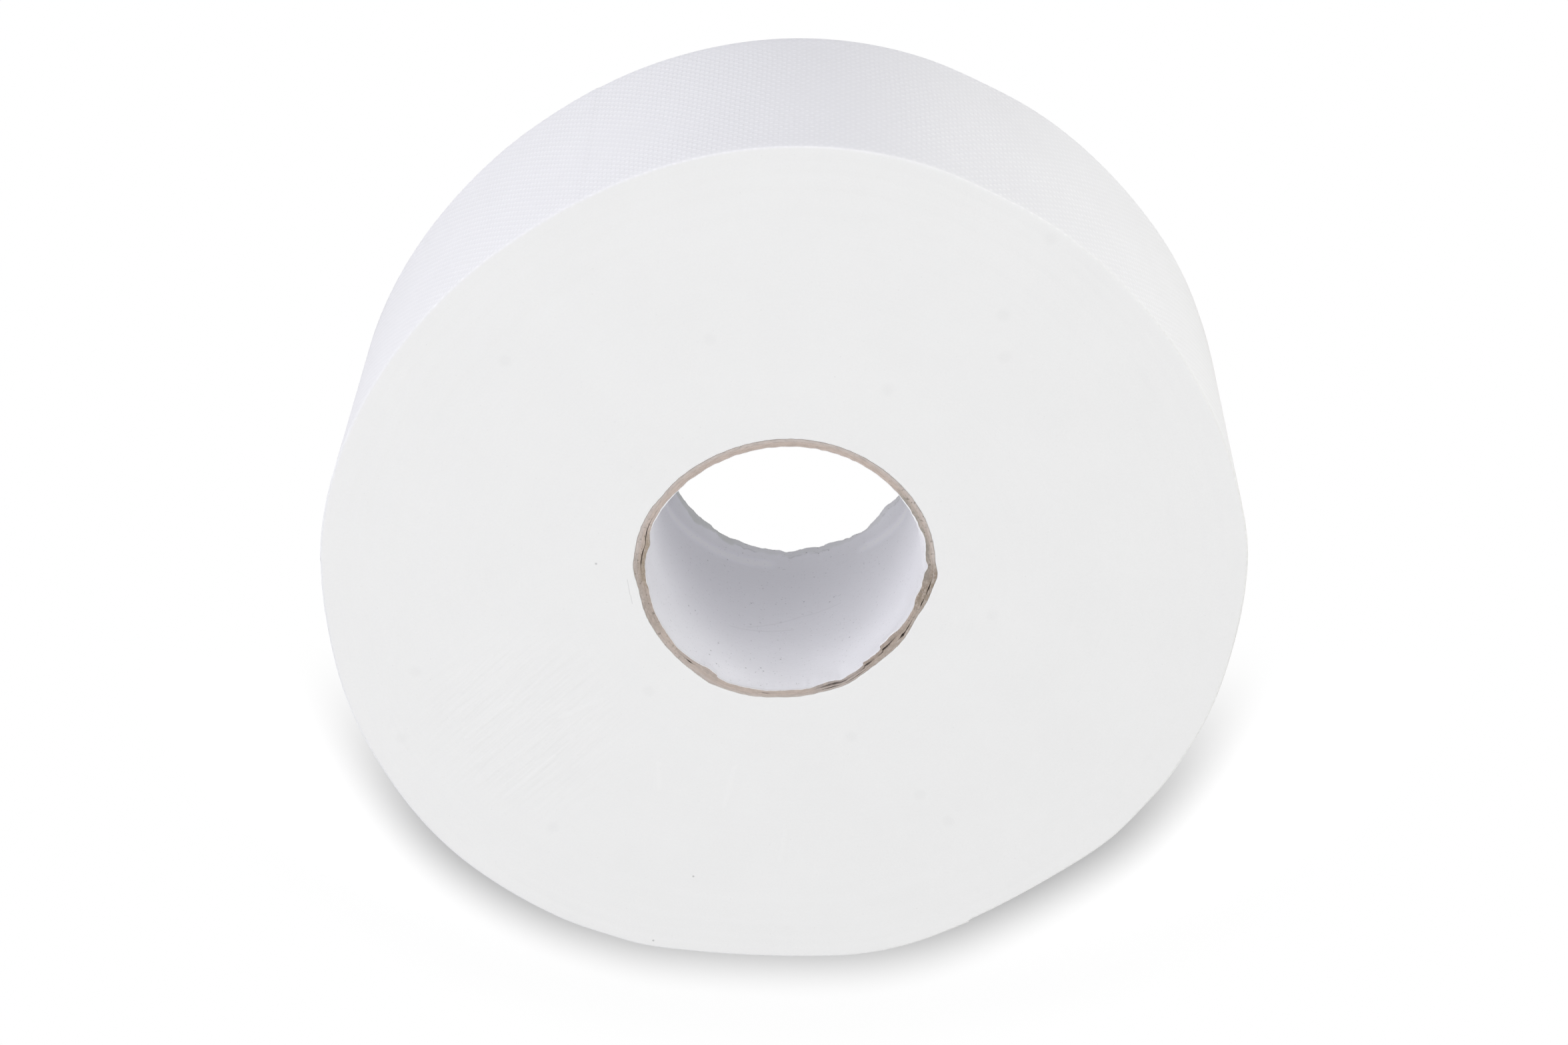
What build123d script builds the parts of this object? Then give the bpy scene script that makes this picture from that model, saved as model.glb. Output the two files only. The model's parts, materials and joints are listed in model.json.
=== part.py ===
from build123d import *
import os
from math import cos, exp, log, radians, sin, sqrt

# Jumbo toilet paper roll, standing on one of its flat ends.
# The axis of the core is the Z axis, and the lower end lies on the plane z = 0.
# All sizes are in millimetres and degrees, and angles run from +X towards +Y.

# Overall sizes
roll_width = 90.0
roll_diameter = 254.0
core_bore = 76.0

# Wall of the core, from the bore outwards
liner_thickness = 0.15
inner_ply_thickness = 0.75
middle_ply_thickness = 0.75
outer_ply_thickness = 0.75

# Soft outline of the wound paper: waves round it, each with its rise and the angle of one crest
oval_rise = 2.5
oval_angle = 32.0
three_lobe_rise = 0.9
three_lobe_angle = 35.8
four_lobe_rise = 0.9
four_lobe_angle = -6.5

# The outline's centre, seen from the core, which sits a little high in the paper
outline_shift_x = 0.5
outline_shift_y = 2.6

# Flat spot that the roll gets where it has lain on its curved side
flat_width = 54.0
flat_angle = 88.5
flat_blend = 0.6

# Loose end of the last turn: one embossed two-ply sheet, pressed down by hand
sheet_thickness = 0.35
tail_angle = 118.0

# Soft edge round each end of the roll
edge_round = 1.2
edge_steps = 3

# Turns that stand out on each end: small steps, close together at the rim and sparser inwards,
# with the paper between two of them sloping gently back to the flat end
turn_line_inset = 3.2
turn_line_pitch = 3.4
turn_line_spread = 1.5
turn_line_count = 4
turn_line_width = 0.4
turn_line_depth = 0.25

# How finely the soft outline is followed, in points for one turn
outline_points = 96

# Radii worked out from the sizes above
bore_radius = core_bore / 2
liner_outer_radius = bore_radius + liner_thickness
inner_ply_outer_radius = liner_outer_radius + inner_ply_thickness
middle_ply_outer_radius = inner_ply_outer_radius + middle_ply_thickness
core_outer_radius = middle_ply_outer_radius + outer_ply_thickness


def wavy_radius(angle):
    """Radius of the out-of-round outline, before the flat spot is pressed into it."""
    oval = oval_rise * cos(radians(2 * (angle - oval_angle)))
    three_lobe = three_lobe_rise * cos(radians(3 * (angle - three_lobe_angle)))
    four_lobe = four_lobe_rise * cos(radians(4 * (angle - four_lobe_angle)))
    return roll_diameter / 2 + oval + three_lobe + four_lobe


def outline_radius(angle):
    """Radius of the outline with its flat spot, blended softly into the round."""
    radius = wavy_radius(angle)
    flat_distance = sqrt(wavy_radius(flat_angle) ** 2 - (flat_width / 2) ** 2)
    facing = cos(radians(angle - flat_angle))
    if facing * radius < flat_distance / 2:
        return radius
    flat_radius = flat_distance / facing
    gap = abs(radius - flat_radius)
    return min(radius, flat_radius) - flat_blend * log(1 + exp(-gap / flat_blend))


def turn_point(angle, inset, height):
    """Point on a turn: the turns ease from the round core out to the soft outline."""
    paper_depth = roll_diameter / 2 - core_outer_radius
    share = 1 - inset / paper_depth
    radius = core_outer_radius + share * (outline_radius(angle) - core_outer_radius)
    x = share * outline_shift_x + radius * cos(radians(angle))
    y = share * outline_shift_y + radius * sin(radians(angle))
    return (x, y, height)


def tube(inner_radius, outer_radius):
    """Plain tube as long as the roll is wide."""
    ring = Circle(outer_radius) - Circle(inner_radius)
    return extrude(ring, amount=roll_width)


def roll_section(inset, height):
    """Section of the wound paper: one turn that grows by a sheet, closed by the tail's edge."""
    points = []
    for step in range(outline_points + 1):
        turned = step / outline_points
        angle = tail_angle + 360 * turned
        below_tail = sheet_thickness * (1 - turned)
        points.append(turn_point(angle, inset + below_tail, height))
    last_turn = Spline(*points)
    tail_edge = Line(points[-1], points[0])
    return make_face([last_turn, tail_edge])


def end_profile():
    """Depth below an end and inset of each section, from the side of the roll inwards."""
    profile = []
    for step in range(edge_steps + 1):
        angle = radians(90 * step / edge_steps)
        profile.append((edge_round * (1 - sin(angle)), edge_round * (1 - cos(angle))))
    inset = turn_line_inset
    for line in range(turn_line_count):
        profile.append((0, inset))
        profile.append((turn_line_depth, inset + turn_line_width))
        inset += turn_line_pitch * turn_line_spread**line
    profile.append((0, inset))
    return profile


def tissue_roll():
    """Wound paper: every turn in one solid, round the core."""
    lower = [roll_section(inset, depth) for depth, inset in reversed(end_profile())]
    upper = [roll_section(inset, roll_width - depth) for depth, inset in end_profile()]
    roll = loft(lower + upper, ruled=True)
    return roll - extrude(Circle(core_outer_radius), amount=roll_width)


def core_outer_ply():
    """Board strip that carries the paper."""
    return tube(middle_ply_outer_radius, core_outer_radius)


def core_middle_ply():
    """Board strip between the other two."""
    return tube(inner_ply_outer_radius, middle_ply_outer_radius)


def core_inner_ply():
    """Board strip under the liner."""
    return tube(liner_outer_radius, inner_ply_outer_radius)


def core_liner():
    """Thin white paper on the wall of the bore."""
    return tube(bore_radius, liner_outer_radius)


sub_parts = {
    "tissue_roll": tissue_roll,
    "core_outer_ply": core_outer_ply,
    "core_middle_ply": core_middle_ply,
    "core_inner_ply": core_inner_ply,
    "core_liner": core_liner,
}

os.makedirs("parts", exist_ok=True)
for node, make in sub_parts.items():
    export_step(make(), f"parts/{node}.step")
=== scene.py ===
import json
import math

import bmesh
import bpy
import numpy as np
from mathutils import Matrix, Vector

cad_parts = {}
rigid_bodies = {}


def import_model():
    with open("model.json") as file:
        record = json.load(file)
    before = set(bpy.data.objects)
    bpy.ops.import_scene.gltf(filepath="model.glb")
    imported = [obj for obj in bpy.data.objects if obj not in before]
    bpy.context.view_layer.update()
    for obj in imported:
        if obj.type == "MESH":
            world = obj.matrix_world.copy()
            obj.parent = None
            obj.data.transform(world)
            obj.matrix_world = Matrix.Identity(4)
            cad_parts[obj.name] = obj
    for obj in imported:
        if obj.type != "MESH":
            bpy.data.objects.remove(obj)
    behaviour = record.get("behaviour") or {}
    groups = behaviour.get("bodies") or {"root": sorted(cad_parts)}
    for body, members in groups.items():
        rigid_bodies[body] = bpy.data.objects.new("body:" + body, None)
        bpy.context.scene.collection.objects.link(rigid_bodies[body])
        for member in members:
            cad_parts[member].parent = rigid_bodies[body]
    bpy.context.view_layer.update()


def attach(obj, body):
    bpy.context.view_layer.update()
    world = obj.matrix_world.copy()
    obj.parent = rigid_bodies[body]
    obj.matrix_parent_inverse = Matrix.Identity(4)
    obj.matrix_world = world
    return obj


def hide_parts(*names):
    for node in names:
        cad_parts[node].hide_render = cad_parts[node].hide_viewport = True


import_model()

# Jumbo toilet paper roll, standing on one flat end.
# Shapes are worked out in millimetres and degrees, angles run from +X towards +Y,
# and every mesh is written in metres.
MM = 0.001

# Sizes of the roll, as in the part's source
roll_width = 90.0
roll_diameter = 254.0
bore_radius = 38.0
liner_outer_radius = 38.15
inner_board_outer_radius = 38.9
middle_board_outer_radius = 39.65
core_outer_radius = 40.4
oval_rise, oval_angle = 2.5, 32.0
three_lobe_rise, three_lobe_angle = 0.9, 35.8
four_lobe_rise, four_lobe_angle = 0.9, -6.5
outline_shift = (0.5, 2.6)
flat_width, flat_angle, flat_blend = 54.0, 88.5, 0.6
sheet_thickness, tail_angle = 0.35, 118.0
turn_line_inset, turn_line_pitch, turn_line_spread = 3.2, 3.4, 1.5
turn_line_count, turn_line_width, turn_line_depth = 4, 0.4, 0.25
outer_radius = roll_diameter / 2
paper_depth = outer_radius - core_outer_radius
core_thickness = core_outer_radius - bore_radius

# Camera: lens and sensor, tilt and roll in degrees, and place seen from the upper end
camera_lens, camera_sensor = 88.497, 36
camera_tilt = -25.687
camera_roll = 2.282
camera_offset = (0.0, 13.17, 1069.64)


def place_camera():
    """Camera above the roll, on the side away from its flat spot."""
    turn = Matrix.Rotation(math.pi, 4, "Z")
    tilt = Matrix.Rotation(math.radians(camera_tilt), 4, "X")
    roll = Matrix.Rotation(math.radians(camera_roll), 4, "Z")
    pose = turn @ tilt @ roll
    pose.translation = Vector((0, 0, roll_width * MM)) + pose @ (Vector(camera_offset) * MM)
    data = bpy.data.cameras.new("camera")
    data.lens = camera_lens
    data.sensor_width = camera_sensor
    camera = bpy.data.objects.new("camera", data)
    camera.matrix_world = pose
    bpy.context.collection.objects.link(camera)
    bpy.context.scene.camera = camera


# Shape of the wound paper and of the core's cut rim

def wavy_radius(angle):
    """Radius of the out-of-round outline, before the flat spot is pressed into it."""
    oval = oval_rise * np.cos(np.radians(2 * (angle - oval_angle)))
    three_lobe = three_lobe_rise * np.cos(np.radians(3 * (angle - three_lobe_angle)))
    four_lobe = four_lobe_rise * np.cos(np.radians(4 * (angle - four_lobe_angle)))
    return outer_radius + oval + three_lobe + four_lobe


def outline_radius(angle):
    """Radius of the outline with its flat spot, blended softly into the round."""
    radius = wavy_radius(angle)
    flat_distance = math.sqrt(wavy_radius(flat_angle) ** 2 - (flat_width / 2) ** 2)
    facing = np.cos(np.radians(angle - flat_angle))
    near_flat = facing * radius >= flat_distance / 2
    flat_radius = flat_distance / np.where(near_flat, facing, 1)
    gap = np.abs(radius - flat_radius)
    blended = np.minimum(radius, flat_radius) - flat_blend * np.log(1 + np.exp(-gap / flat_blend))
    return np.where(near_flat, blended, radius)


def away(angle, centre):
    """Degrees between two angles, from -180 to 180."""
    return (angle - centre + 180) % 360 - 180


def bumps(angle, places):
    """Soft local rises: each has its angle, its height and its half width in degrees."""
    total = np.zeros_like(angle)
    for centre, height, reach in places:
        total += height * np.exp(-((away(angle, centre) / reach) ** 2))
    return total


ragged_wave_count = 26


def ragged(angle, seed, lowest=12, highest=170, share=0.6):
    """Seeded uneven line about 1 high, from waves that number lowest to highest in a turn."""
    chance = np.random.default_rng(seed)
    total = np.zeros_like(angle)
    weight = 0.0
    for _ in range(ragged_wave_count):
        count = int(lowest * (highest / lowest) ** chance.random())
        rise = count ** -share
        total += rise * np.sin(np.radians(count * angle) + chance.random() * 2 * math.pi)
        weight += rise * rise
    return total / math.sqrt(weight * 2)


def smooth(value, low, high):
    """0 below low, 1 above high, and eased between them."""
    share = np.clip((value - low) / (high - low), 0, 1)
    return share * share * (3 - 2 * share)


def waves(angle, mean, shapes):
    """Sum of waves round the core: each has its count, its rise and the angle of one crest."""
    total = np.full_like(angle, mean)
    for count, rise, crest in shapes:
        total += rise * np.cos(np.radians(count * (angle - crest)))
    return total


tooth_curve = 0.7


def teeth(angle, places):
    """Torn steps: each starts sharply at its first angle and runs out at its last."""
    total = np.zeros_like(angle)
    for start, end, height in places:
        past = away(angle, start) / (end - start)
        left = np.clip(1 - past, 0, 1) ** tooth_curve
        total += np.where((past >= 0) & (past < 1), height * left, 0)
    return total


# The core's rim is out of round near the upper end, where the paper is cut. Waves are given as
# count, rise and crest, bumps as angle, height and reach, and teeth as start, end and height.
rim_fade_depth, rim_full_depth = 10.0, 1.5
torn_fade_depth = 3.5
outer_rim_ragged, inner_rim_ragged = 0.06, 0.10
outer_rim_mean, outer_rim_waves = 0.19, ((2, 1.08, 23.3), (3, 0.37, -36.3), (4, 0.34, -5.2))
outer_rim_bumps = (
    (62, 0.4, 6), (89, -0.38, 8), (118, 0.71, 8), (138, -0.11, 9), (160, -0.91, 8), (180, 0.75, 4),
    (206, 0.1, 14), (328, -0.28, 5), (345, 0.18, 12), (2, 0.32, 5), (12, -0.53, 7),
)
inner_rim_mean, inner_rim_waves = 0.09, ((2, 0.83, 30.8), (3, 0.38, -28.5), (4, 0.17, -2.6))
inner_rim_bumps = (
    (12, -0.47, 9), (41, 0.32, 4), (57, -0.55, 5), (68, 0.5, 6), (93, -0.3, 5), (118, 0.95, 4),
    (126, 0.6, 4), (132, 0.45, 2.5), (145, -0.3, 6), (154, -0.2, 6), (169, -0.6, 3.5),
    (184, 0.95, 2.5), (195, 0.72, 6), (340, 0.22, 8), (352, -0.79, 5),
)
inner_rim_teeth = ((128.6, 135.5, -0.75), (139.6, 152, -0.75), (62.6, 53, -0.45))

# The lower rim, and its frayed edge
far_rim_height = 5.0
far_rim_ragged, far_edge_ragged = 0.12, 0.16
far_rim_bumps = (
    (51, -0.25, 4), (60, 0.25, 4), (69, -0.2, 3), (76, 0.15, 4), (82, -0.2, 2), (103, -0.8, 7),
    (113, -0.5, 5), (128, 0.2, 4), (142, -1.1, 6),
)
far_edge_height, least_far_edge_height = 0.32, 0.03
far_edge_dip, far_edge_dip_reach, far_edge_dip_height = 91.5, 5.5, 0.9
far_edge_teeth = (
    (108.9, 97, 0.75), (128.9, 124, 0.45), (140.5, 137, 0.4), (46.5, 44, 0.4), (50, 47.5, 0.45),
    (57.5, 53.5, 0.55), (66, 61, 0.35), (36, 33.5, 0.4), (150, 146, 0.4),
)


def far_edge(angle):
    """Height of the core's frayed lower edge."""
    dip = np.clip(1 - np.abs(away(angle, far_edge_dip)) / far_edge_dip_reach, 0, 1)
    uneven = far_edge_ragged * ragged(angle, 14, 20, 200, 0.4)
    edge = far_edge_height + far_edge_dip_height * dip + teeth(angle, far_edge_teeth) + uneven
    return np.maximum(edge, least_far_edge_height)


# Small lumps of the outline, where the soft paper has been pushed about, and more of them low down
outline_bumps = (
    (10, -0.72, 9), (44, 0.95, 11), (70, -0.85, 5.5), (85, 0.5, 7), (98, -0.55, 4), (109, 0.75, 7),
    (127, -0.4, 8), (141, 0.8, 6), (151, 0.35, 4), (172, -0.7, 8), (187, 0.4, 5), (246, -0.5, 6),
    (303, -0.4, 8),
)
lower_outline_bumps = ((250, -0.55, 20), (210, 0.5, 9), (303, 0.5, 14))


def rim_offset(angle, radius, height):
    """How far the core's wall leaves the round near its rims, outwards."""
    outer = waves(angle, outer_rim_mean, outer_rim_waves) + bumps(angle, outer_rim_bumps)
    outer += outer_rim_ragged * ragged(angle, 21, 30, 150)
    inner = waves(angle, inner_rim_mean, inner_rim_waves) + bumps(angle, inner_rim_bumps)
    inner += inner_rim_ragged * ragged(angle, 22, 25, 150)
    very_top = smooth(height, roll_width - torn_fade_depth, roll_width - rim_full_depth)
    inner += very_top * teeth(angle, inner_rim_teeth)
    share = np.clip((radius - bore_radius) / core_thickness, 0, 1)
    near_rim = smooth(height, roll_width - rim_fade_depth, roll_width - rim_full_depth)
    upper = near_rim * ((1 - share) * inner + share * outer)
    far = bumps(angle, far_rim_bumps) + far_rim_ragged * ragged(angle, 23, 25, 170)
    near_far_rim = 1 - smooth(height, 1.0, far_rim_height)
    return upper + near_far_rim * (1 - share) * far


# Slits where the plies part at the upper rim: radius of the seam, then angle, width and reach
slit_depth, slit_full_depth = 3.0, 0.8
slit_unevenness = 0.35
full_slit_width = 0.12
slits = {
    liner_outer_radius: ((333, 0.20, 9), (203, 0.26, 13)),
    inner_board_outer_radius: (
        (113.5, 0.26, 4.5), (130.4, 0.30, 2.2), (142, 0.40, 3.2), (346, 0.18, 5), (357, 0.22, 4),
        (49.5, 0.24, 1.6), (84, 0.14, 2),
    ),
    middle_board_outer_radius: (
        (111.8, 0.24, 3.2), (124, 0.12, 5), (150.8, 0.60, 1.5), (155.5, 0.18, 3),
        (174.5, 0.30, 2.4), (167.5, 0.26, 1.6),
    ),
}


def slit_width(angle, seam):
    """Gap between two plies where they part, a little uneven."""
    uneven = 1 + slit_unevenness * ragged(angle, 24, 40, 160)
    return bumps(angle, slits.get(seam, ())) * uneven


# Modelling helpers

def deselect_all():
    """Leave nothing selected."""
    for thing in bpy.context.view_layer.objects:
        thing.select_set(False)


def pick(piece, kind, test):
    """In edit mode, select the vertices or edges that lie wholly where the test says."""
    bpy.ops.mesh.select_mode(type=kind)
    bpy.ops.mesh.select_all(action="DESELECT")
    mesh = bmesh.from_edit_mesh(piece.data)
    parts = mesh.verts if kind == "VERT" else mesh.edges
    for part in parts:
        ends = [part.co] if kind == "VERT" else [end.co for end in part.verts]
        if all(test(end.x / MM, end.z / MM) for end in ends):
            part.select_set(True)
    bmesh.update_edit_mesh(piece.data)


tiny = 0.01
doubles_distance = 0.001


def spun_wall(name, inner, outer, corners, cuts, steps, spread):
    """Closed wall spun round the core's axis from its cut section.

    corners gives each rounded corner as radius, height, rounding and segments. cuts gives how
    many cuts each side of the section gets: upper, lower, outer and inner. spread then moves
    the cuts to their places. An eighth of a turn is spun, and then doubled three times.
    """
    deselect_all()
    bpy.ops.mesh.primitive_plane_add(size=1, enter_editmode=True, location=(0, 0, 0))
    piece = bpy.context.object
    piece.name = name
    piece.data.name = name
    bpy.ops.transform.rotate(value=math.pi / 2, orient_axis="X", center_override=(0, 0, 0))
    bpy.ops.transform.resize(value=((outer - inner) * MM, 1, roll_width * MM))
    bpy.ops.transform.translate(value=((outer + inner) / 2 * MM, 0, roll_width / 2 * MM))
    for radius, height, rounding, segments in corners:
        pick(piece, "VERT", lambda x, z: abs(x - radius) < tiny and abs(z - height) < tiny)
        bpy.ops.mesh.bevel(offset=rounding * MM, segments=segments, affect="VERTICES")
    bpy.ops.mesh.select_mode(type="FACE")
    bpy.ops.mesh.select_all(action="SELECT")
    bpy.ops.mesh.delete(type="ONLY_FACE")
    sides = {
        "upper": lambda x, z: abs(z - roll_width) < tiny,
        "lower": lambda x, z: abs(z) < tiny,
        "outer": lambda x, z: abs(x - outer) < tiny,
        "inner": lambda x, z: abs(x - inner) < tiny,
    }
    for side, test in sides.items():
        pick(piece, "EDGE", test)
        bpy.ops.mesh.subdivide(number_cuts=cuts[side])
    spread(piece, sides)
    bpy.ops.mesh.select_mode(type="VERT")
    bpy.ops.mesh.select_all(action="SELECT")
    bpy.ops.mesh.spin(steps=steps // 8, angle=math.pi / 4, center=(0, 0, 0), axis=(0, 0, 1))
    for turn in (math.pi / 4, math.pi / 2, math.pi):
        bpy.ops.mesh.select_all(action="SELECT")
        bpy.ops.mesh.duplicate()
        bpy.ops.transform.rotate(value=turn, orient_axis="Z", center_override=(0, 0, 0))
    bpy.ops.mesh.select_all(action="SELECT")
    bpy.ops.mesh.remove_doubles(threshold=doubles_distance * MM)
    bpy.ops.mesh.normals_make_consistent(inside=False)
    bpy.ops.object.mode_set(mode="OBJECT")
    return piece


def move_run(piece, test, along, places):
    """Set the free vertices of one side of a section at the given places, in order."""
    mesh = bmesh.from_edit_mesh(piece.data)
    run = [vert for vert in mesh.verts if test(vert.co.x / MM, vert.co.z / MM)]
    run.sort(key=lambda vert: vert.co[along])
    for vert, place in zip(run[1:-1], sorted(places)):
        vert.co[along] = place * MM
    bmesh.update_edit_mesh(piece.data)


def read_points(piece):
    """A mesh's points as angle, radius and height."""
    points = np.empty(len(piece.data.vertices) * 3)
    piece.data.vertices.foreach_get("co", points)
    x, y, z = points.reshape(-1, 3).T / MM
    return np.degrees(np.arctan2(y, x)) % 360, np.hypot(x, y), z.copy()


def write_points(piece, x, y, z):
    """Move a mesh's points."""
    points = np.stack([x, y, z], axis=1) * MM
    piece.data.vertices.foreach_set("co", points.ravel())
    piece.data.update()


def add_values(piece, name, values):
    """Keep one number at each point, for the piece's material."""
    layer = piece.data.attributes.new(name, "FLOAT", "POINT")
    layer.data.foreach_set("value", values.astype(np.float32))


smoothing_angle = 35


def settle(piece, finish, node):
    """Smooth shading, material and the calls that tie a piece to the frame."""
    deselect_all()
    piece.select_set(True)
    bpy.context.view_layer.objects.active = piece
    bpy.ops.object.shade_smooth_by_angle(angle=math.radians(smoothing_angle))
    piece.data.materials.clear()
    piece.data.materials.append(finish)
    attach(piece, "root")
    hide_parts(node)


# Shader helpers

class Socket:
    """Output of a node, on which Python's own operators add Math nodes."""

    def __init__(self, finish, output):
        self.finish = finish
        self.output = output

    def math(self, operation, *others, clamp=False, first=None):
        values = [self, *others] if first is None else [first, self]
        settings = {"operation": operation, "use_clamp": clamp}
        return self.finish.node("ShaderNodeMath", settings, dict(enumerate(values)))

    def __add__(self, other):
        return self.math("ADD", other)

    def __radd__(self, other):
        return self.math("ADD", other)

    def __sub__(self, other):
        return self.math("SUBTRACT", other)

    def __rsub__(self, other):
        return self.math("SUBTRACT", first=other)

    def __mul__(self, other):
        return self.math("MULTIPLY", other)

    def __rmul__(self, other):
        return self.math("MULTIPLY", other)

    def __truediv__(self, other):
        return self.math("DIVIDE", other)

    def __gt__(self, other):
        return self.math("GREATER_THAN", other)


class Finish:
    """A material, or the world, whose nodes are added one call at a time."""

    def __init__(self, name, kind=bpy.data.materials):
        self.material = kind.new(name)
        self.material.use_nodes = True
        self.tree = self.material.node_tree
        self.tree.nodes.clear()

    def node(self, kind, settings=None, inputs=None, output=0):
        """Add a node with its settings, and values or links on its inputs."""
        made = self.tree.nodes.new(kind)
        for name, value in (settings or {}).items():
            setattr(made, name, value)
        for name, value in (inputs or {}).items():
            if isinstance(value, Socket):
                self.tree.links.new(value.output, made.inputs[name])
            else:
                made.inputs[name].default_value = value
        return Socket(self, made.outputs[output])

    def vector_math(self, operation, inputs, output="Vector"):
        return self.node("ShaderNodeVectorMath", {"operation": operation}, inputs, output)

    def place(self):
        """Object coordinates in millimetres."""
        coordinates = self.node("ShaderNodeTexCoord", output="Object")
        return self.vector_math("SCALE", {0: coordinates, "Scale": 1 / MM})

    def split(self, vector):
        made = self.node("ShaderNodeSeparateXYZ", inputs={0: vector}).output.node
        return [Socket(self, output) for output in made.outputs]

    def join(self, x, y, z):
        return self.node("ShaderNodeCombineXYZ", inputs={0: x, 1: y, 2: z})

    def noise(self, vector, scale, detail=3.0, roughness=0.5):
        inputs = {"Vector": vector, "Scale": scale, "Detail": detail, "Roughness": roughness}
        return self.node("ShaderNodeTexNoise", inputs=inputs)

    def attribute(self, name):
        return self.node("ShaderNodeAttribute", {"attribute_name": name}, output="Fac")

    def distance(self, point, target):
        return self.vector_math("DISTANCE", {0: point, 1: target}, "Value")

    def near(self, point, segments, full, none):
        """1 within the first distance of any of the line segments, and 0 past the second."""
        nearest = None
        for start, end in segments:
            start, run = (*start, 0), (end[0] - start[0], end[1] - start[1], 0)
            length = math.hypot(*run)
            foot = start
            if length > 0:
                offset = self.vector_math("SUBTRACT", {0: point, 1: start})
                along = self.vector_math("DOT_PRODUCT", {0: offset, 1: run}, "Value")
                share = (along / length**2).math("ADD", 0.0, clamp=True)
                scaled = self.vector_math("SCALE", {0: run, "Scale": share})
                foot = self.vector_math("ADD", {0: start, 1: scaled})
            gap = self.distance(point, foot)
            nearest = gap if nearest is None else nearest.math("MINIMUM", gap)
        return self.step(nearest, full, none, 1.0, 0.0)

    def sector(self, turn, centre, full, none):
        """1 within so many degrees of an angle, and 0 past the second number of degrees."""
        facing = (turn - math.radians(centre)).math("COSINE")
        return self.step(facing, math.cos(math.radians(none)), math.cos(math.radians(full)))

    def step(self, value, low, high, start=0.0, end=1.0):
        """Ease from start to end while the value goes from low to high."""
        settings = {"interpolation_type": "SMOOTHSTEP", "clamp": True}
        inputs = {"Value": value, "From Min": low, "From Max": high, "To Min": start, "To Max": end}
        return self.node("ShaderNodeMapRange", settings, inputs)

    def mix(self, share, first, second):
        """Colour that goes from the first to the second with the share."""
        inputs = {0: share}
        for socket, value in ((6, first), (7, second)):
            inputs[socket] = value if isinstance(value, Socket) else (*value, 1)
        return self.node("ShaderNodeMix", {"data_type": "RGBA"}, inputs, output=2)

    def paper(self, colour, roughness, relief, strength, specular):
        """Matte surface with a relief in millimetres, to the material's output."""
        inputs = {"Strength": strength, "Distance": MM, "Height": relief}
        bump = self.node("ShaderNodeBump", inputs=inputs)
        inputs = {"Base Color": colour, "Roughness": roughness, "Normal": bump}
        inputs["Specular IOR Level"] = specular
        surface = self.node("ShaderNodeBsdfPrincipled", inputs=inputs)
        self.node_output(surface)
        return self.material

    def node_output(self, surface, kind="ShaderNodeOutputMaterial"):
        """Link the surface to the output of the material or of the world."""
        made = self.tree.nodes.new(kind)
        self.tree.links.new(surface.output, made.inputs["Surface"])

    def seen_ray(self):
        """1 for what the camera sees, also in a gloss or through something clear, or else 0."""
        kinds = ("Is Camera Ray", "Is Glossy Ray", "Is Transmission Ray")
        camera, glossy, clear = [self.node("ShaderNodeLightPath", output=kind) for kind in kinds]
        return camera.math("MAXIMUM", glossy).math("MAXIMUM", clear)


# Tissue

# Embossed lattice of the side: waves round the roll, and millimetres from wave to wave up it
emboss_round_count, emboss_pitch_up = 291, 3.5

# Marks on the upper end, in the plane of the end: round smudges, specks, creases and hairlines
smudges = (
    (22.6, -68.6), (77.8, -59.9), (63.4, 85.3), (36.8, 39.8), (-20.8, 51.8), (-56.1, -79.0),
    (106.5, 58.2), (102.6, 36.5), (-67.3, -101.4), (-57.2, -66.8), (-26.2, -55.9), (-58.6, 11.6),
    (-41.2, 69.8), (-49.9, 78.2),
)
specks = ((33.7, 122.1), (22.6, 99.9), (52.2, 0.4), (79.6, -92.8))
creases = (
    ((77.2, 76.0), (62.9, 62.1)), ((14.4, 76.2), (12.0, 63.7)), ((33.4, 63.0), (33.2, 71.5)),
    ((61.5, 49.5), (49.7, 43.0)), ((88.0, 57.0), (75.5, 45.2)), ((-2.0, 93.5), (-3.2, 84.0)),
)
hairlines = (((43.4, 5.0), (42.6, 9.6)), ((42.4, 9.8), (41.9, 12.4)))
crease_fan_centre, crease_fan_full, crease_fan_none = (72.0, 52.0, 0), 14.0, 40.0

end_white = (0.862, 0.862, 0.859)
# The side's two whites differ from the end's only by a painted tint: cool light towards +X, warm light
# towards -X
side_white_in_painted_cool_light = (0.858, 0.857, 0.869)
side_white_in_painted_warm_light = (0.860, 0.858, 0.858)
tissue_dust_grey = (0.5, 0.5, 0.5)
tissue_speck_grey = (0.3, 0.3, 0.3)


def round_marks(spots):
    """Round marks, as line segments without length."""
    return [(spot, spot) for spot in spots]


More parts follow.
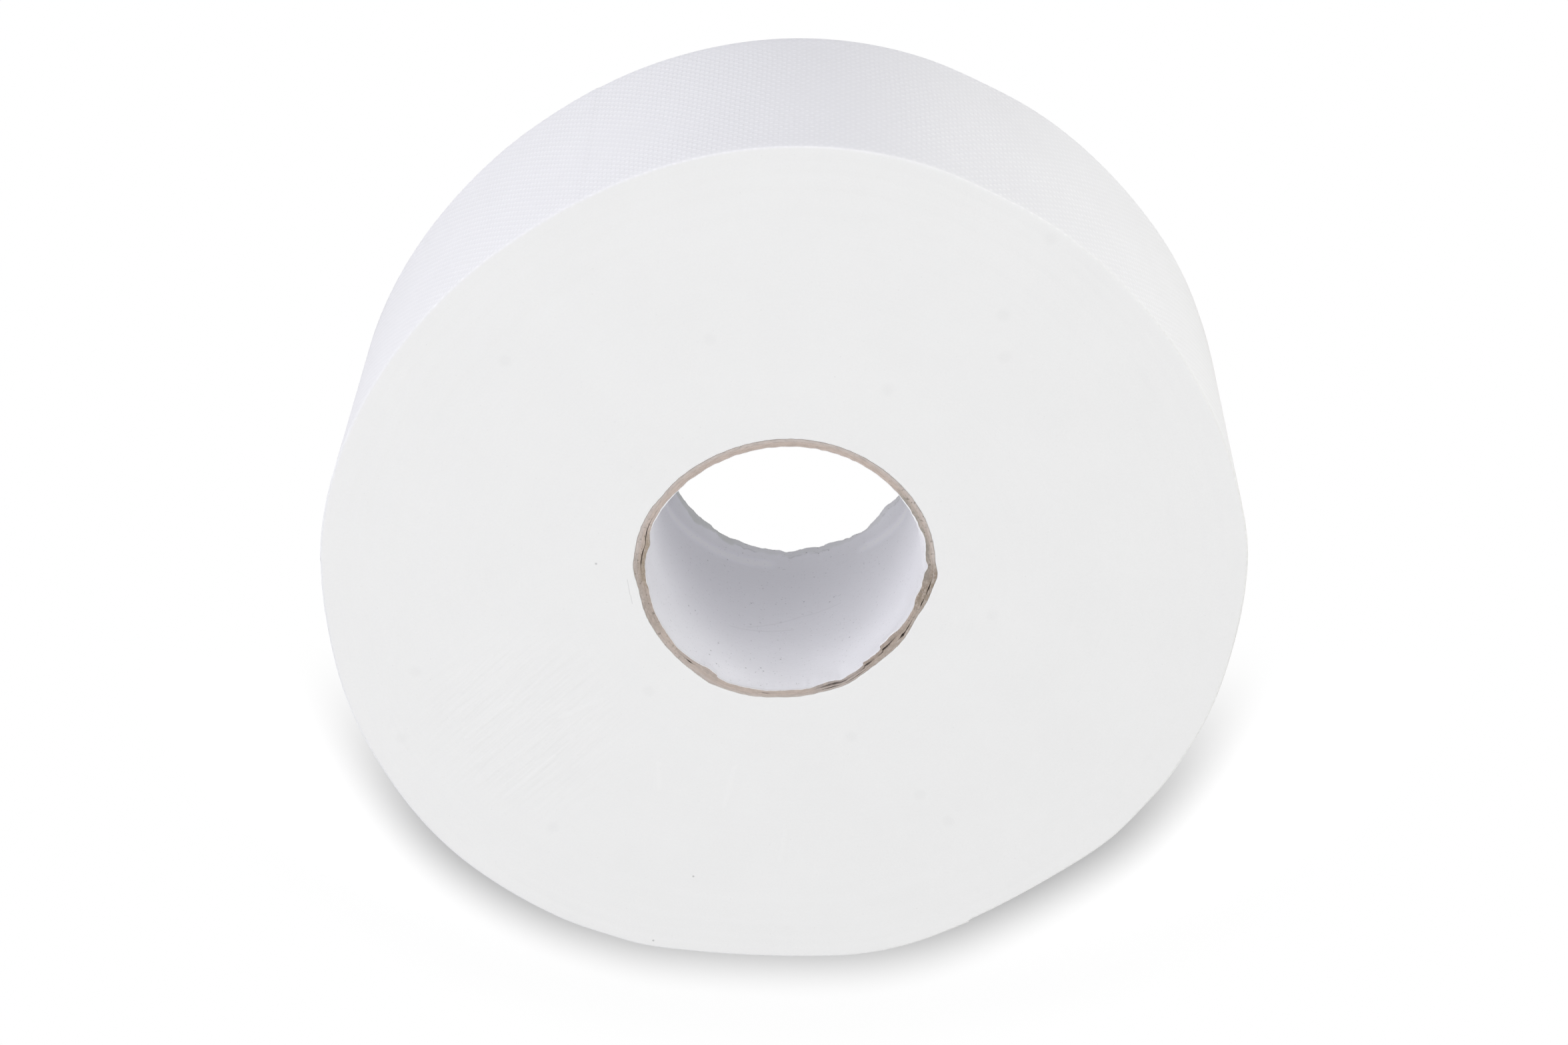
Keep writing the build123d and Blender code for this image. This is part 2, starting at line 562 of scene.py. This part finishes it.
def tissue_finish():
    """White crepe tissue: fibrous cut end, an embossed lattice of dots on the side, painted light and
    shade.
    """
    finish = Finish("white_embossed_tissue")
    place = finish.place()
    x, y, z = finish.split(place)
    flat = finish.join(x, y, 0.0)
    side = finish.attribute("side")
    inset = finish.attribute("inset")
    end = 1 - side
    upper_end = end * (z > roll_width / 2)

    turn = (y - outline_shift[1]).math("ARCTAN2", x - outline_shift[0])
    drift = finish.noise(place, 0.02, 1.0) * 5
    round_wave = (turn * emboss_round_count + drift).math("COSINE")
    up_wave = (z * (2 * math.pi / emboss_pitch_up) + drift * 0.5).math("COSINE")
    lattice = finish.step(round_wave * up_wave, 0.0, 0.9)
    pressed = finish.step(finish.noise(place, 0.022, 1.0), 0.40, 0.60, 0.60, 1.0)
    dots = lattice * side * pressed

    fibres = finish.noise(place, 1.6, 5.0, 0.65)
    fluff = finish.noise(place, 6.0, 3.0, 0.6)
    clouds = finish.noise(place, 0.045, 3.0, 0.55)
    layers = finish.noise(finish.join(inset * 2.2, turn * 0.9, z * 0.02), 1.0, 4.0, 0.7)

    along = (x + y) * 0.05
    across = (y - x) * 0.55
    to_fan = finish.distance(flat, crease_fan_centre)
    near_fan = finish.step(to_fan, crease_fan_full, crease_fan_none, 1.0, 0.0)
    wrinkles = (finish.noise(finish.join(along, across, 0.0), 1.0, 2.0, 0.5) - 0.5) * near_fan
    line = finish.near(flat, creases, 0.15, 1.1)
    scratch = finish.near(flat, hairlines, 0.03, 0.18)

    smudge = finish.near(flat, round_marks(smudges), 0.7, 2.6)
    speck = finish.near(flat, round_marks(specks), 0.15, 0.45)

    shade = (clouds - 0.5) * 0.03 + (fibres - 0.5) * 0.05 + (layers - 0.5) * end * 0.015
    # Painted light and shade along the wrinkles, following their relief; the crease lines are a little
    # lighter and the smudges darker
    marks = (wrinkles * 0.06 + line * 0.013 - smudge * 0.024) * upper_end
    # Painted shade: the embossed dots are painted lighter and the side around them darker, for the
    # shade in the hollows between them
    bright = 1 + shade + (dots - side * 0.3) * 0.055 + marks
    # Painted light: the side is painted a cooler white towards +X and a warmer white towards -X, as
    # the tint of the light on each side
    side_tint_of_painted_light = finish.mix(finish.step(x, -75.0, 15.0), side_white_in_painted_warm_light, side_white_in_painted_cool_light)
    base = finish.mix(side, end_white, side_tint_of_painted_light)
    tone = finish.join(bright, bright, bright)
    colour = finish.vector_math("MULTIPLY", {0: base, 1: tone})
    dust = finish.step(finish.noise(place, 1.5, 0.0), 0.84, 0.87)
    colour = finish.mix(dust * 0.15, colour, tissue_dust_grey)
    dark_marks = (speck * 0.5).math("MAXIMUM", scratch * 0.22) * upper_end
    colour = finish.mix(dark_marks, colour, tissue_speck_grey)

    roughness = 0.9 + (fibres - 0.5) * 0.1
    relief = dots * 0.15 + (fibres - 0.5) * 0.07 + (fluff - 0.5) * 0.03
    relief = relief + (layers - 0.5) * end * 0.05
    relief = relief + (wrinkles * 0.3 + line * 0.08) * upper_end
    return finish.paper(colour, roughness, relief, strength=0.6, specular=0.15)


# Rings of points on the ends, as insets from the side, and on the wall of the hole, as heights
even_ring_inset, even_ring_pitch, even_ring_count = 22.5, 1.28, 46
upper_insets = (
    [1.2, 2.2, 3.2, 3.6, 4.6, 5.6, 6.6, 7.0, 8.2, 9.5, 10.6, 11.7, 12.1, 13.5, 15.0, 16.5, 18.0,
     19.35, 19.75, 21.0]
    + [even_ring_inset + even_ring_pitch * ring for ring in range(even_ring_count)]
    + [82.0, 83.0, 83.8, 84.5, 85.1, 85.6, 86.0]
)
lower_insets = [
    2.4, 3.2, 3.6, 5.0, 6.6, 7.0, 9.5, 11.7, 12.1, 15.5, 19.35, 19.75, 25.0, 31.0, 50.0, 70.0,
]
wall_heights = [8.0, 40.0, 70.0, 78.0, 82.0, 85.0, 87.0, 88.5]


# The steps between turns are where the source has them, but this share as deep
turn_line_faintness = 0.15


def turn_line_drop(inset):
    """Depth of the small steps between turns on an end."""
    drop = np.zeros_like(inset)
    start = turn_line_inset
    for line in range(turn_line_count):
        width = turn_line_pitch * turn_line_spread**line
        past = inset - start
        falling = np.clip(past / turn_line_width, 0, 1)
        rising = np.clip((past - turn_line_width) / (width - turn_line_width), 0, 1)
        depth = turn_line_faintness * turn_line_depth * (falling - rising)
        drop += np.where((past > 0) & (past < width), depth, 0)
        start += width
    return drop


tissue_steps = 600
side_segments = 22

# Rounding of the corners, in millimetres: at the side, and at the core
edge_round, hole_edge_round = 0.7, 0.35

# Insets where the side's finish is full and where it ends, and where the last turn's step is
# full and where it ends
side_full, side_none = 0.1, 0.9
skin_full, skin_none = 2, 9

# Tail: how far its edge wanders round the roll, over which height, and half its own width, all
# but the height in degrees, then how high it lifts, how far round and how far in
tail_wander, tail_wander_height, tail_half_width = 0.12, 13, 0.03
tail_lift, tail_lift_reach, tail_lift_inset = 0.2, 1.6, 1.5

# How far the hole's out-of-round shape reaches into the paper
hole_shape_reach = 7


def shape_tissue(piece):
    """Move the round wall onto the roll's soft outline, with its tail, steps and dents."""
    angle, radius, height = read_points(piece)
    inset = outer_radius - radius
    on_side = smooth(radius, outer_radius - side_none, outer_radius - side_full)
    turned = ((angle - tail_angle) % 360) / 360
    outer_skin = 1 - smooth(inset, skin_full, skin_none)
    deeper = inset + sheet_thickness * (1 - turned) * outer_skin
    share = 1 - deeper / paper_depth
    beside_tail = np.abs(away(angle, tail_angle)) < 360 / tissue_steps
    tail_edge = tail_angle + tail_wander * np.sin(height / tail_wander_height)
    tail_edge = tail_edge + np.sign(away(angle, tail_angle)) * tail_half_width
    angle = np.where(beside_tail & (outer_skin > 0.5), tail_edge, angle)
    new_radius = core_outer_radius + share * (outline_radius(angle) - core_outer_radius)
    before_tail = np.clip(tail_angle - angle + 0.1, 0, 90)
    lift = tail_lift * outer_skin * np.exp(-before_tail / tail_lift_reach)
    lift = np.where(away(angle, tail_angle + tail_wander) <= 0, lift, 0)
    new_radius += lift * (inset < tail_lift_inset)
    past_hole = share * paper_depth
    hole_shape = rim_offset(angle, core_outer_radius, height)
    new_radius += hole_shape * np.exp(-past_hole / hole_shape_reach)
    low_share = 1 - smooth(height, 0, roll_width / 2)
    lumps = bumps(angle, outline_bumps) + low_share * bumps(angle, lower_outline_bumps)
    new_radius += np.clip(share, 0, 1) ** 2 * lumps
    x = share * outline_shift[0] + new_radius * np.cos(np.radians(angle))
    y = share * outline_shift[1] + new_radius * np.sin(np.radians(angle))
    on_upper = (height > roll_width - 2 * tiny) & (inset > edge_round)
    on_lower = (height < 2 * tiny) & (inset > edge_round)
    drop = turn_line_drop(inset)
    height = np.where(on_upper, height - drop, height)
    height = np.where(on_lower, height + drop, height)
    write_points(piece, x, y, height)
    add_values(piece, "inset", inset)
    add_values(piece, "side", on_side)


def wound_tissue():
    """All the turns of paper, with the hole for the core."""
    inner, outer = core_outer_radius, outer_radius
    corners = (
        (outer, roll_width, edge_round, 5), (outer, 0, edge_round, 4),
        (inner, roll_width, hole_edge_round, 2), (inner, 0, hole_edge_round, 2),
    )
    cuts = {
        "upper": len(upper_insets), "lower": len(lower_insets), "outer": side_segments,
        "inner": len(wall_heights),
    }

    def spread(piece, sides):
        move_run(piece, sides["upper"], 0, [outer - inset for inset in upper_insets])
        move_run(piece, sides["lower"], 0, [outer - inset for inset in lower_insets])
        move_run(piece, sides["inner"], 2, wall_heights)

    piece = spun_wall("wound_tissue", inner, outer, corners, cuts, tissue_steps, spread)
    shape_tissue(piece)
    settle(piece, tissue_finish(), "tissue_roll")
    return piece


# Core

# Rings of points on the walls of the plies, as heights, and steps round the core
ply_wall_heights = [
    1.0, 3.0, 10.0, 30.0, 55.0, 72.0, 77.0, 80.0, 82.0, 83.5, 85.0, 86.0, 87.0, 87.8, 88.5, 89.0,
    89.4,
]
ply_steps = 720

# Rounding of the cut edges: in millimetres, and at most this share of a ply's thickness
ply_edge_round, ply_edge_round_share = 0.03, 0.2

# Browner and pinker board, and greyer board
brown_board, grey_board = (0.566, 0.48, 0.431), (0.564, 0.50, 0.464)
dark_streak, light_streak = 0.84, 1.05

# Stained stretches of the cut rim: middle angle, degrees to where the stain starts to fade and
# to where it ends, strength and colour
rim_stains = (
    (65, 36, 62, 0.30, (0.43, 0.365, 0.32)),
    (14, 10, 22, 0.62, (0.38, 0.325, 0.285)),
    (116, 8, 18, 0.45, (0.40, 0.35, 0.325)),
    (144, 10, 24, 0.70, (0.36, 0.30, 0.25)),
    (174, 5, 14, 0.85, (0.31, 0.255, 0.205)),
)
inner_edge_stains = (
    (203, 11, 20, 0.75, (0.33, 0.31, 0.275)),
    (186, 6, 12, 0.75, (0.32, 0.29, 0.26)),
    (358, 8, 16, 0.75, (0.34, 0.28, 0.21)),
    (288, 22, 36, 0.30, (0.45, 0.38, 0.33)),
    (116, 8, 14, 0.45, (0.36, 0.33, 0.32)),
    (52, 9, 14, 0.35, (0.36, 0.32, 0.30)),
)
speckled_stretches = ((12, 26, 40), (188, 26, 40))
board_speck, frayed_board = (0.24, 0.215, 0.185), (0.60, 0.60, 0.58)
# Painted shade in the slits between the plies
painted_slit_shade = (0.17, 0.14, 0.12)


def board_finish(name, tone):
    """Pinkish grey board: cut fibres, darker streaks, flecks, browner stained stretches, and painted
    shade in the slits.
    """
    finish = Finish(name)
    place = finish.place()
    x, y, z = finish.split(place)
    turn = y.math("ARCTAN2", x)
    radius = (x * x + y * y).math("SQRT")
    share = finish.attribute("share")
    parted = finish.attribute("parted")
    across = finish.attribute("across")
    along = finish.join(turn * 16, radius * 2.2, z * 0.9)
    streaks = finish.noise(along, 1.0, 4.0, 0.65)
    grain = finish.noise(place, 2.6, 4.0, 0.75)
    blotches = finish.noise(finish.join(turn * 30, radius * 1.1, z * 0.1), 1.0, 3.0, 0.65)
    dark = [value * dark_streak for value in tone]
    light = [value * light_streak for value in tone]
    colour = finish.mix(finish.step(streaks, 0.30, 0.62), dark, light)
    spotted = finish.step(blotches, 0.34, 0.60, 0.45, 1.15)
    for centre, full, none, strength, stain in rim_stains:
        share_of_stain = finish.sector(turn, centre, full, none) * spotted * strength
        colour = finish.mix(share_of_stain.math("MINIMUM", 1.0), colour, stain)
    inner_side = finish.step(across, 0.22, 0.75, 1.0, 0.0)
    for centre, full, none, strength, stain in inner_edge_stains:
        share_of_stain = finish.sector(turn, centre, full, none) * inner_side * spotted * strength
        colour = finish.mix(share_of_stain.math("MINIMUM", 1.0), colour, stain)
    first, second = [finish.sector(turn, *stretch) for stretch in speckled_stretches]
    speckled = (first + second) * 0.8 + 0.15
    specks = finish.step(finish.noise(place, 1.1, 3.0, 0.6), 0.57, 0.70) * speckled
    colour = finish.mix(specks, colour, board_speck)
    frayed = finish.step(z, 2.0, 9.0, 1.0, 0.0)
    colour = finish.mix(frayed * 0.8, colour, frayed_board)
    # Painted shade: the board is painted dark in the slits where the plies part
    beside_seam = finish.step((share - 0.5).math("ABSOLUTE"), 0.40, 0.50)
    seam = beside_seam * finish.step(streaks, 0.36, 0.5)
    colour = finish.mix(seam * parted * 0.8, colour, painted_slit_shade)
    roughness = 0.85 + (grain - 0.5) * 0.2
    relief = (streaks - 0.5) * 0.10 + (grain - 0.5) * 0.14
    return finish.paper(colour, roughness, relief, strength=0.7, specular=0.2)


# Marks on the liner, as angle and height: spiral seam lines, soft folds with painted light along them,
# and dark specks
liner_seams = (
    ((74.8, 54.3), (97.9, 44.8)), ((97.9, 44.8), (116.2, 41.7)), ((66.9, 57.3), (95.2, 52.6)),
)
liner_folds = (
    ((25.0, 21.5), (48.2, 15.5)), ((48.2, 15.5), (82.0, 10.5)), ((156.0, 20.0), (130.0, 13.0)),
)
liner_specks = (
    (111.3, 38.5), (113.3, 36.2), (48.9, 60.8), (44.9, 61.5), (53.4, 24.2), (63.6, 16.0), (76.0, 38.5),
    (99.5, 35.0), (100.1, 3.0), (105.5, 1.6), (105.7, 4.8), (110.6, 4.2), (58.5, 78.0), (58.0, 80.8),
    (61.8, 83.5), (90.1, 71.0), (81.7, 77.5), (75.2, 79.5), (82.9, 79.2), (121.0, 66.0), (62.0, 71.0),
)

# Greyish crushed band along the core's lower edge, and where it is at its strongest
band_height, band_ragged = 3.6, 0.8
band_rises = ((43, 2.8, 8), (56.5, -1.2, 2.5), (62, 1.6, 4), (92.5, 1.8, 3), (128, -1, 9))
band_stretch = (36, 20, 48)

# Stretches of the upper edge that stay white, outside the painted shade along the liner's last
# millimetre
white_edge_stretches = ((333, 9, 15), (202, 15, 22))

liner_white, crushed_liner = (0.928, 0.925, 0.955), (0.764, 0.773, 0.757)
ridge_grey, bit_grey, dash_grey = (0.36, 0.37, 0.36), (0.30, 0.31, 0.30), (0.45, 0.45, 0.48)
liner_speck_grey, liner_edge_painted_shade = (0.25, 0.25, 0.26), (0.62, 0.60, 0.58)


def band_top(angle):
    """Height of the crushed band along the core's lower edge."""
    return band_height + bumps(angle, band_rises) + band_ragged * ragged(angle, 31, 12, 150)


def unrolled_marks(marks):
    """Places on the liner given as angle and height, as millimetres round and up."""
    def unroll(spot):
        angle, height = spot
        return math.radians(angle) * bore_radius, height

    return [(unroll(start), unroll(end)) for start, end in marks]


def liner_finish():
    """Thin white liner paper with spiral seam lines, soft folds in painted light, specks, short grey
    fibres and painted shade at its upper edge.
    """
    finish = Finish("white_liner_paper")
    place = finish.place()
    x, y, z = finish.split(place)
    turn = y.math("ARCTAN2", x)
    unrolled = finish.join(turn * bore_radius, z, 0.0)
    fibres = finish.noise(place, 1.4, 4.0, 0.6)
    clouds = finish.noise(place, 0.06, 2.0, 0.5)
    combed = finish.noise(finish.join(turn * 10, z * 1.5, 0.0), 1.0, 4.0, 0.65)
    dashes = finish.step(finish.noise(finish.join(turn * 22, z * 2.4, 0.0), 1.0, 2.0), 0.66, 0.80)
    dust = finish.step(finish.noise(place, 1.8, 0.0), 0.75, 0.82)
    speck = finish.near(unrolled, unrolled_marks(round_marks(liner_specks)), 0.10, 0.38)
    seam = finish.near(unrolled, unrolled_marks(liner_seams), 0.08, 0.5)
    fold_painted_light = finish.near(unrolled, unrolled_marks(liner_folds), 0.3, 4.5)
    bright = 1 + (clouds - 0.5) * 0.04 + (fibres - 0.5) * 0.05 + (combed - 0.5) * 0.07
    # Painted light along the soft folds
    bright = bright - seam * 0.05 + fold_painted_light * 0.085
    colour = finish.join(*[bright * level for level in liner_white])

    top = finish.attribute("band_top") + (fibres - 0.5) * 1.2
    band_strength = finish.sector(turn, *band_stretch).math("MAXIMUM", 0.4)
    band = finish.step(top - z, -0.9, 1.3) * band_strength
    crushed = 0.93 + finish.noise(place, 0.9, 4.0, 0.7) * 0.14
    crushed_paper = finish.join(*[crushed * level for level in crushed_liner])
    colour = finish.mix(band, colour, crushed_paper)
    ridge = finish.step((top - z).math("ABSOLUTE"), 0.15, 0.7, 1.0, 0.0)
    patches = finish.step(finish.noise(finish.join(turn * 7, 0.0, z * 0.05), 1.0, 2.0), 0.50, 0.60)
    colour = finish.mix(ridge * patches * 0.22, colour, ridge_grey)
    above_edge = z - finish.attribute("far_edge")
    bits = finish.step(finish.noise(finish.join(turn * 18, 0.0, z * 0.3), 1.0, 2.0), 0.56, 0.66)
    bits = bits * finish.step(above_edge, 0.2, 0.9, 1.0, 0.0)
    colour = finish.mix(bits * 0.5, colour, bit_grey)

    colour = finish.mix(dashes * 0.09, colour, dash_grey)
    colour = finish.mix(speck.math("MAXIMUM", dust * 0.5) * 0.5, colour, liner_speck_grey)
    # Painted shade: the liner is painted darker just below its upper edge, except where that edge
    # shows white
    first, second = [finish.sector(turn, *stretch) for stretch in white_edge_stretches]
    edge_shade_stretches = 1 - first.math("MAXIMUM", second)
    painted_edge_shade = finish.step(z, roll_width - 1.2, roll_width - 0.5) * edge_shade_stretches
    colour = finish.mix(painted_edge_shade * 0.3, colour, liner_edge_painted_shade)
    relief = (fibres - 0.5) * 0.05 + (clouds - 0.5) * 0.3 + (combed - 0.5) * 0.06 + seam * 0.06
    relief = relief + band * 0.10 - ridge * patches * 0.12
    return finish.paper(colour, 0.8, relief, strength=0.6, specular=0.25)


# Plies from the outside in: piece, node, radii, how far the upper rim is worn down and how far
# the lower edge is above the liner's, each as mean, raggedness and seed, and worn places
plies = (
    (
        "outer_board", "core_outer_ply", middle_board_outer_radius, core_outer_radius,
        (0.05, 0.02, 1), (0.3, 0.08, 11), (),
    ),
    (
        "middle_board", "core_middle_ply", inner_board_outer_radius, middle_board_outer_radius,
        (0.06, 0.025, 2), (0.25, 0.08, 12), (),
    ),
    (
        "inner_board", "core_inner_ply", liner_outer_radius, inner_board_outer_radius,
        (0.09, 0.035, 3), (0.2, 0.08, 13), ((114, 0.6, 6), (133, 0.55, 6), (146, 0.45, 5)),
    ),
    (
        "liner_paper", "core_liner", bore_radius, liner_outer_radius,
        (0.20, 0.08, 4), (0, 0, 14), ((114, 0.8, 7), (133, 1.2, 8), (147, 1.1, 7), (352, 0.4, 8)),
    ),
)
rim_wear_depth = 3


def core_wall(name, node, inner, outer, rim_wear, foot_wear, worn_places, slot, finish):
    """One ply of the core, with a cut upper rim that is a little ragged."""
    thickness = outer - inner
    rounding = min(ply_edge_round, thickness * ply_edge_round_share)
    corners = ((inner, roll_width, rounding, 1), (outer, roll_width, rounding, 1))
    wall = len(ply_wall_heights)
    cuts = {"upper": 2, "lower": 1, "outer": wall, "inner": wall}

    def spread(piece, sides):
        for side in ("outer", "inner"):
            move_run(piece, sides[side], 2, ply_wall_heights)

    piece = spun_wall(name, inner, outer, corners, cuts, ply_steps, spread)
    angle, radius, height = read_points(piece)
    share = (radius - inner) / thickness
    inner_slit, outer_slit = slit_width(angle, inner), slit_width(angle, outer)
    near_top = smooth(height, roll_width - slit_depth, roll_width - slit_full_depth)
    new_radius = radius + rim_offset(angle, radius, height)
    # Two boards make way for a slit by half each. The liner swells to fill the one beside it.
    if slot == "core_board":
        inner_share = 1 if inner == liner_outer_radius else 0.5
        new_radius += near_top * (1 - share) * inner_slit * inner_share
        new_radius -= near_top * share * outer_slit / 2
        gap = (1 - share) * inner_slit + share * outer_slit
        add_values(piece, "share", share)
        add_values(piece, "across", (radius - bore_radius) / core_thickness)
        add_values(piece, "parted", np.clip(gap / full_slit_width, 0, 1))
    else:
        new_radius += near_top * share * outer_slit
        add_values(piece, "band_top", band_top(angle))
        add_values(piece, "far_edge", far_edge(angle))

    def wear(mean, raggedness, seed):
        return mean + raggedness * ragged(angle, seed)

    top = smooth(height, roll_width - rim_wear_depth, roll_width)
    foot = 1 - smooth(height, 0, far_rim_height)
    drop = wear(*rim_wear) + bumps(angle, worn_places)
    rise = far_edge(angle) + wear(*foot_wear)
    new_height = np.clip(height - top * drop + foot * rise, 0, roll_width)
    x = new_radius * np.cos(np.radians(angle))
    y = new_radius * np.sin(np.radians(angle))
    write_points(piece, x, y, new_height)
    settle(piece, finish, node)
    return piece


def core():
    """Three strips of board and the liner paper, from the outside in."""
    board = board_finish("grey_brown_board", brown_board)
    outer_board = board_finish("grey_board", grey_board)
    finishes = (outer_board, board, board, liner_finish())
    slots = ("core_board", "core_board", "core_board", "core_liner")
    return [core_wall(*ply, slot, finish) for ply, slot, finish in zip(plies, slots, finishes)]


# Floor and light

# The floor's shadow lies on the side of the flat spot, on a line that slants a little: where it
# starts and is full, where it fades, its share, and the distance from the axis where it ends
shadow_slant = 0.045
shadow_start, shadow_full = 67.4, 149.0
shadow_fade_start, shadow_fade_end = 150.4, 260.8
shadow_share = 0.73
shadow_reach, shadow_end = 200.0, 228.0
shadow_lamp_place, shadow_lamp_target = (0.0074, -0.2463, 0.6331), (0, 0, 0.09)
shadow_lamp_size, shadow_lamp_power = 0.1065, 6.75

# Light that the floor throws back: under the bore, near the roll and far from it
floor_size = 8
seen_floor = (0.85, 0.85, 0.85, 1)
bounce_under_bore = (0.31, 0.31, 0.32)
bounce_near, bounce_far = (0.36, 0.36, 0.38), (0.90, 0.90, 0.95)
under_bore_margin = 20
bounce_near_end, bounce_far_start = 150.0, 450.0


def floor():
    """White floor that keeps the roll's soft shadow on the side of the flat spot."""
    finish = Finish("white_floor")
    place = finish.place()
    x, y = finish.split(place)[:2]
    distance = (x * x + y * y).math("SQRT")
    past = y - x * shadow_slant
    strength = finish.step(past, shadow_fade_start, shadow_fade_end, shadow_share, 0.0)
    near_roll = finish.step(distance, shadow_reach, shadow_end, 1.0, 0.0)
    share = finish.step(past, shadow_start, shadow_full) * near_roll * strength
    seen = finish.node("ShaderNodeBsdfDiffuse", inputs={"Color": seen_floor})
    under_bore = finish.step(distance, bore_radius, bore_radius + under_bore_margin, 1.0, 0.0)
    outwards = finish.step(distance, bounce_near_end, bounce_far_start)
    tone = finish.mix(outwards, bounce_near, bounce_far)
    tone = finish.mix(under_bore, tone, bounce_under_bore)
    bounce = finish.node("ShaderNodeBsdfDiffuse", inputs={"Color": tone})
    lit = finish.node("ShaderNodeEmission", inputs={"Color": (1, 1, 1, 1), "Strength": 1.0})
    pale = finish.node("ShaderNodeMixShader", inputs={0: share, 1: lit, 2: seen})
    surface = finish.node("ShaderNodeMixShader", inputs={0: finish.seen_ray(), 1: bounce, 2: pale})
    finish.node_output(surface)
    deselect_all()
    bpy.ops.mesh.primitive_plane_add(size=floor_size, location=(0, 0, 0))
    ground = bpy.context.object
    ground.name = "floor"
    ground.data.materials.append(finish.material)
    return ground


# Lamps on the roll: azimuth and elevation in degrees, share of full brightness, tint, and what
# they light: the whole roll, its outside, or the bore
lamp_distance, lamp_size = 2.5, 1.4
lamp_target = (0, 0, 0.06)
world_light = 0.2
white, cool_white, faintly_cool_white = (1.0, 1.0, 1.0), (0.968, 0.968, 1.0), (0.98, 0.98, 1.0)
roll_lamps = (
    ("left_lamp", -5, 32, 0.41, cool_white, "outside"),
    ("high_left_lamp", 330, 57, 0.285, cool_white, "roll"),
    ("right_lamp", 185, 32, 0.255, (1.0, 1.0, 0.95), "outside"),
    ("low_right_lamp", 185, 12, 0.245, (1.0, 1.0, 0.93), "outside"),
    ("high_right_lamp", 210, 57, 0.125, white, "roll"),
    ("low_front_lamp", 270, 12, 0.26, (0.96, 0.96, 1.0), "outside"),
    ("back_lamp", 90, 15, 0.22, white, "roll"),
    ("bore_left_lamp", -5, 32, 0.23, cool_white, "bore"),
    ("bore_high_left_lamp", 8, 57, 0.12, faintly_cool_white, "bore"),
    ("bore_right_lamp", 185, 32, 0.255, (1.0, 1.0, 0.965), "bore"),
    ("bore_front_lamp", 270, 34, 0.09, white, "bore"),
    ("bore_low_front_lamp", 270, 12, 0.2, white, "bore"),
)


def receivers(name, pieces):
    """Collection of the pieces that a lamp lights."""
    made = bpy.data.collections.new(name + "_light_receivers")
    for piece in pieces:
        made.objects.link(piece)
    return made


def lamp(name, place, target, size, power, tint, lit):
    """Round soft lamp that faces its target and lights only its receivers."""
    data = bpy.data.lights.new(name, "AREA")
    data.shape = "DISK"
    data.size = size
    data.energy = power
    data.color = tint
    light = bpy.data.objects.new(name, data)
    light.location = place
    light.rotation_euler = (Vector(target) - Vector(place)).to_track_quat("-Z", "Y").to_euler()
    bpy.context.collection.objects.link(light)
    light.light_linking.receiver_collection = lit


def studio(ground, tissue, core_plies):
    """Even light on the roll, and one lamp for the floor's shadow."""
    finish = Finish("studio", bpy.data.worlds)
    strength = finish.seen_ray() * (1 - world_light) + world_light
    inputs = {"Color": (1, 1, 1, 1), "Strength": strength}
    background = finish.node("ShaderNodeBackground", inputs=inputs)
    finish.node_output(background, "ShaderNodeOutputWorld")
    bpy.context.scene.world = finish.material

    lit = {
        "floor": receivers("floor", [ground]),
        "roll": receivers("roll", [tissue, *core_plies]),
        "outside": receivers("outside", [tissue, *core_plies[:-1]]),
        "bore": receivers("bore", core_plies[-1:]),
    }
    lamp(
        "shadow_lamp", shadow_lamp_place, shadow_lamp_target, shadow_lamp_size,
        shadow_lamp_power, white, lit["floor"],
    )
    full_power = math.pi**2 * lamp_distance**2
    for name, azimuth, elevation, share, tint, lit_name in roll_lamps:
        away_from, up = math.radians(azimuth), math.radians(elevation)
        level = math.cos(up) * lamp_distance
        height = math.sin(up) * lamp_distance
        place = (level * math.cos(away_from), level * math.sin(away_from), height)
        lamp(name, place, lamp_target, lamp_size, share * full_power, tint, lit[lit_name])


place_camera()
tissue_piece = wound_tissue()
core_pieces = core()
studio(floor(), tissue_piece, core_pieces)
bpy.context.scene.view_settings.view_transform = "Standard"
